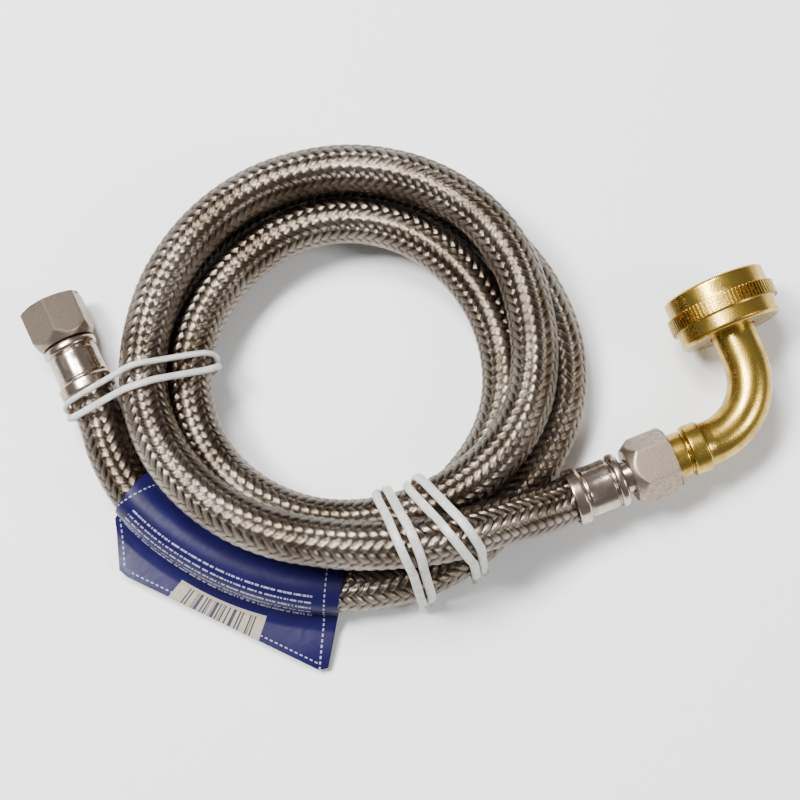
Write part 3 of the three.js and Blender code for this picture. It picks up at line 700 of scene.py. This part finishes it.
def tie_line(at, outward_turn, stand_off, seam, pinch, spread):
    """Centre line of a tie wound twice round the strands, its two turns spread apart on top."""
    centre = placed((*at, 0))
    centre.z = 0.0
    across, facing = direction(outward_turn), direction(outward_turn + 90)
    circles = [c for k in (-0.002, 0.0, 0.002)
               for c in crossings(centre + facing * k, across, facing)]

    def band(angle, radius):
        best = max(circles, key=lambda c: c[0] * math.cos(angle) + c[1] * math.sin(angle))
        return best[0] + radius * math.cos(angle), best[1] + radius * math.sin(angle)

    def spot(flat, offset):
        point = centre + across * flat[0] + facing * offset
        return (point.x, point.y, flat[1])

    points, start, count = [], math.radians(seam), 72
    for i in range(count + 1):
        part = i / count
        angle = start + 4 * math.pi * part
        side = math.tanh((part - 0.5) * 24)
        apart = pinch + spread * max(0.0, math.sin(angle)) ** 0.7
        points.append(spot(band(angle, stand_off + 0.00012 * math.sin(5 * angle)), side * apart / 2))
    for k in (1, 2):
        tail = band(start + 0.02 * k, stand_off + 0.0011 * k)
        points.append(spot(tail, (pinch + 0.0006 * k) / 2))
        points.insert(0, spot(tail, -(pinch + 0.0006 * k) / 2))
    return smooth_route(points, 6)


def make_ties():
    left = swept("left_wire_tie", tie_line((-0.0571, 0.0190), 176, HOSE_RADIUS + 0.00100, -60, 0.0021,
                 0.0036), oval(0.0020, 0.0018, 14, 2, 0.06), tie_plastic)
    inner = swept("right_wire_tie_inner", tie_line((-0.0030, -0.0532), -88, HOSE_RADIUS + 0.00095, -28,
                  0.0026, 0.0016), oval(0.0026, 0.0014, 16, 3, 0.08), tie_plastic)
    outer = swept("right_wire_tie_outer", tie_line((0.0100, -0.0518), -73, HOSE_RADIUS + 0.00095, -28,
                  0.0028, 0.0020), oval(0.0026, 0.0014, 16, 3, 0.08), tie_plastic)
    return {"left_tie": left, "right_tie_inner": inner, "right_tie_outer": outer}


# ---------------------------------------------------------------- label
LABEL_ROWS = 10
LABEL_LIFT = 0.0086
STITCH_PITCH = 0.0016
TYPE_PITCH = 0.0021
LABEL_EDGES = [
    (-0.0400, 0.0080), (-0.0612, -0.0034), (-0.0772, -0.0116), (-0.0816, -0.0264), (-0.0803, -0.0290),
    (-0.0385, -0.0748), (-0.0358, -0.0752), (-0.0120, -0.0380)]


def make_label_film():
    """Glossy printed film: UV in metres, u along the hose, v across from one flap edge to the other."""
    made, tree, shader = bare_material("label_film", Metallic=0.0, IOR=1.5, Coat_Weight=0.10,
                                       Coat_Roughness=0.12, Specular_IOR_Level=0.15)
    uv = node(tree, "ShaderNodeUVMap", uv_map="UVMap").outputs[0]
    u, v = node(tree, "ShaderNodeSeparateXYZ", {"Vector": uv}).outputs[:2]

    def calc(operation, *values):
        return math_node(tree, operation, *values)

    def between(value, low, high):
        return calc("MULTIPLY", calc("GREATER_THAN", value, low), calc("LESS_THAN", value, high))

    place = node(tree, "ShaderNodeTexCoord").outputs["Object"]
    cloud = node(tree, "ShaderNodeTexNoise", {"Vector": place, "Scale": 90.0, "Detail": 3.0}).outputs[0]
    blue = mixed(tree, cloud, (0.004, 0.003, 0.030), (0.010, 0.007, 0.062))
    row = calc("FRACT", calc("DIVIDE", v, TYPE_PITCH))
    word = node(tree, "ShaderNodeTexNoise", {"Vector": node(tree, "ShaderNodeCombineXYZ", {
        "X": calc("MULTIPLY", u, 1300.0), "Y": calc("FLOOR", calc("DIVIDE", v, TYPE_PITCH))}).outputs[0],
        "Scale": 1.0, "Detail": 1.0}).outputs[0]
    text = calc("MULTIPLY", between(row, 0.38, 0.68), calc("GREATER_THAN", word, 0.47))
    text = calc("MULTIPLY", text, calc("MULTIPLY", between(u, 0.006, 0.061), between(v, 0.0189, 0.0336)))
    stitch = calc("MULTIPLY", calc("ADD", between(u, 0.0022, 0.0026), between(u, 0.0640, 0.0644)),
                  calc("GREATER_THAN", calc("FRACT", calc("DIVIDE", v, STITCH_PITCH)), 0.45))
    x, y = node(tree, "ShaderNodeSeparateXYZ", {"Vector": place}).outputs[:2]

    def hemmed(a, b):
        """Stitches just inside one straight edge of the flap."""
        start, run = COIL_CENTRE + Vector((*a, 0)), Vector((b[0] - a[0], b[1] - a[1], 0))
        way = run.normalized()
        shift = start.x * way.y - start.y * way.x
        inside = calc("MULTIPLY_ADD", y, way.x, calc("MULTIPLY_ADD", x, -way.y, shift))
        along = calc("MULTIPLY_ADD", y, way.y, calc("MULTIPLY_ADD", x, way.x, -start.dot(way)))
        dash = calc("GREATER_THAN", calc("FRACT", calc("DIVIDE", along, STITCH_PITCH)), 0.45)
        return calc("MULTIPLY", dash, calc("MULTIPLY", between(inside, 0.0014, 0.0018),
                    between(along, 0.001, run.length - 0.001)))

    hem = calc("ADD", hemmed(LABEL_EDGES[4], LABEL_EDGES[5]), hemmed(LABEL_EDGES[2], LABEL_EDGES[3]))
    patch = calc("MULTIPLY", between(u, 0.0270, 0.0500), between(v, 0.0050, 0.0168))
    stripe = node(tree, "ShaderNodeTexNoise", {"Vector": node(tree, "ShaderNodeCombineXYZ", {
        "X": calc("MULTIPLY", u, 2600.0)}).outputs[0], "Scale": 1.0, "Detail": 0.0}).outputs[0]
    bars = calc("MULTIPLY", calc("GREATER_THAN", stripe, 0.5),
                calc("MULTIPLY", between(u, 0.0285, 0.0485), between(v, 0.0078, 0.0158)))
    ink = calc("MINIMUM", calc("ADD", calc("ADD", text, stitch), hem), 1.0)
    colour = mixed(tree, calc("MULTIPLY", ink, 0.62), blue, (0.42, 0.42, 0.56))
    colour = mixed(tree, patch, colour, (0.30, 0.26, 0.20))
    colour = mixed(tree, calc("MULTIPLY", bars, patch), colour, (0.03, 0.03, 0.05))
    tree.links.new(colour, shader.inputs["Base Color"])
    crinkle = node(tree, "ShaderNodeTexNoise", {"Vector": place, "Scale": 160.0, "Detail": 4.0,
                   "Distortion": 0.8}).outputs[0]
    tree.links.new(calc("MULTIPLY_ADD", crinkle, 0.25, 0.26), shader.inputs["Roughness"])
    relief = node(tree, "ShaderNodeBump", {"Height": crinkle, "Strength": 0.3, "Distance": 0.0004})
    tree.links.new(relief.outputs[0], shader.inputs["Normal"])
    return made


def trimmed(piece):
    """Cuts the film along its edges, as seen from above."""
    bm = bmesh.new()
    bm.from_mesh(piece.data)
    for a, b in zip(LABEL_EDGES, LABEL_EDGES[1:]):
        start = COIL_CENTRE + Vector((*a, 0))
        outward = Vector((b[1] - a[1], a[0] - b[0], 0))
        bmesh.ops.bisect_plane(bm, geom=bm.verts[:] + bm.edges[:] + bm.faces[:], plane_co=start,
                               plane_no=outward, clear_outer=True)
    bm.to_mesh(piece.data)
    bm.free()
    return piece


def make_label():
    """Film folded round the lowest strand, both ends lying together as one flap."""
    path = smooth_route([(math.radians(turn), radius * MM, 0) for turn, radius, _ in COIL[:LABEL_ROWS]], 12)
    level, wrap = LABEL_LIFT + COIL_CENTRE.z, HOSE_RADIUS + 0.00085
    section = [(0.0270 - 0.0168 * k / 14, -0.0079 + 0.0023 * k / 14 + 0.0009 * math.sin(k / 14 * math.pi))
               for k in range(14)]
    for k in range(41):
        angle = math.radians(-22 + 320 * k / 40)
        section.append((wrap * math.cos(angle), wrap * math.sin(angle)))
    section += [(0.0104 + 0.0166 * k / 14, -0.0063 - 0.0020 * k / 14) for k in range(1, 15)]
    lengths = [0.0]
    for a, b in zip(section, section[1:]):
        lengths.append(lengths[-1] + math.dist(a, b))
    vertices, pairs, run, last = [], [], 0.0, None
    for angle, radius, _ in path:
        here = (radius * math.cos(angle), radius * math.sin(angle))
        run += math.dist(here, last) if last else 0.0
        last = here
        for (out, up), length in zip(section, lengths):
            wave = 0.0007 * math.sin(run * 170 + out * 90) * max(0.0, (out - 0.010) / 0.017)
            reach = radius + out
            vertices.append((COIL_CENTRE.x + reach * math.cos(angle), COIL_CENTRE.y + reach * math.sin(angle),
                             level + up + wave))
            pairs.append((run - 0.0125, length))
    columns = len(section)
    return trimmed(finished("folded_label", vertices, grid_faces(len(path), columns, wrap_columns=False),
                            make_label_film(), uv=pairs, sharp=60))


# ---------------------------------------------------------------- floor and lights
def make_stage():
    made, tree, shader = bare_material("pale_floor", Roughness=0.9)
    place = node(tree, "ShaderNodeTexCoord").outputs["Object"]
    tint = node(tree, "ShaderNodeTexNoise", {"Vector": place, "Scale": 3.0}).outputs[0]
    tree.links.new(mixed(tree, tint, (0.90, 0.90, 0.90), (0.93, 0.93, 0.93)), shader.inputs["Base Color"])
    floor = finished("floor", [(-4, -4, 0), (4, -4, 0), (4, 4, 0), (-4, 4, 0)], [(0, 1, 2, 3)], made)
    world = bpy.data.worlds.new("studio")
    world.use_nodes = True
    world.node_tree.nodes["Background"].inputs["Color"].default_value = (0.88, 0.88, 0.89, 1)
    world.node_tree.nodes["Background"].inputs["Strength"].default_value = 0.28
    bpy.context.scene.world = world
    for name, spot, size, power in (
            ("key_softbox", (-0.40, 0.30, 0.95), 0.26, 21.0),
            ("fill_softbox", (0.70, -0.45, 0.75), 0.30, 6.0),
            ("top_softbox", (-0.10, 0.50, 1.05), 0.30, 17.0)):
        light = bpy.data.lights.new(name, "AREA")
        light.shape, light.size, light.energy = "SQUARE", size, power
        lamp = bpy.data.objects.new(name, light)
        bpy.context.scene.collection.objects.link(lamp)
        lamp.location = spot
        lamp.rotation_euler = (-Vector(spot)).to_track_quat("-Z", "Y").to_euler()


# ---------------------------------------------------------------- assembly
def belongs(piece, body, finish, *nodes):
    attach(piece, body)
    if nodes:
        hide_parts(*nodes)


def assemble():
    belongs(hose_core, "hose", "liner", "hose_liner", "inlet_hose_end", "outlet_hose_end")
    belongs(braid[0], "hose", "braid", "hose_braid")
    belongs(braid[1], "hose", "braid", "hose_braid")
    for end, roll in (("inlet", INLET_NUT_ROLL), ("outlet", 0)):
        belongs(make_ferrule(end), "hose", "ferrule", f"{end}_ferrule")
        belongs(make_nut(end, roll), f"{end}_nut", "nut", f"{end}_nut")
    belongs(make_elbow(), "elbow", "brass", "elbow")
    nut, knurl = make_swivel_nut()
    belongs(nut, "swivel_nut", "brass", "swivel_nut")
    belongs(knurl, "swivel_nut", "brass")
    small = make_small_parts()
    for end in ("inlet", "outlet"):
        belongs(small[f"{end}_stem_nose"], "hose", "brass", f"{end}_stem")
        belongs(small[f"{end}_cone_seal"], "hose", "seal", f"{end}_seal")
    belongs(small["flat_washer"], "swivel_nut", "seal", "hose_washer")
    for solid, piece in make_ties().items():
        belongs(piece, "hose", "tie", solid)
    label = make_label()
    belongs(label, "hose", "label", "label")


assemble()
make_stage()
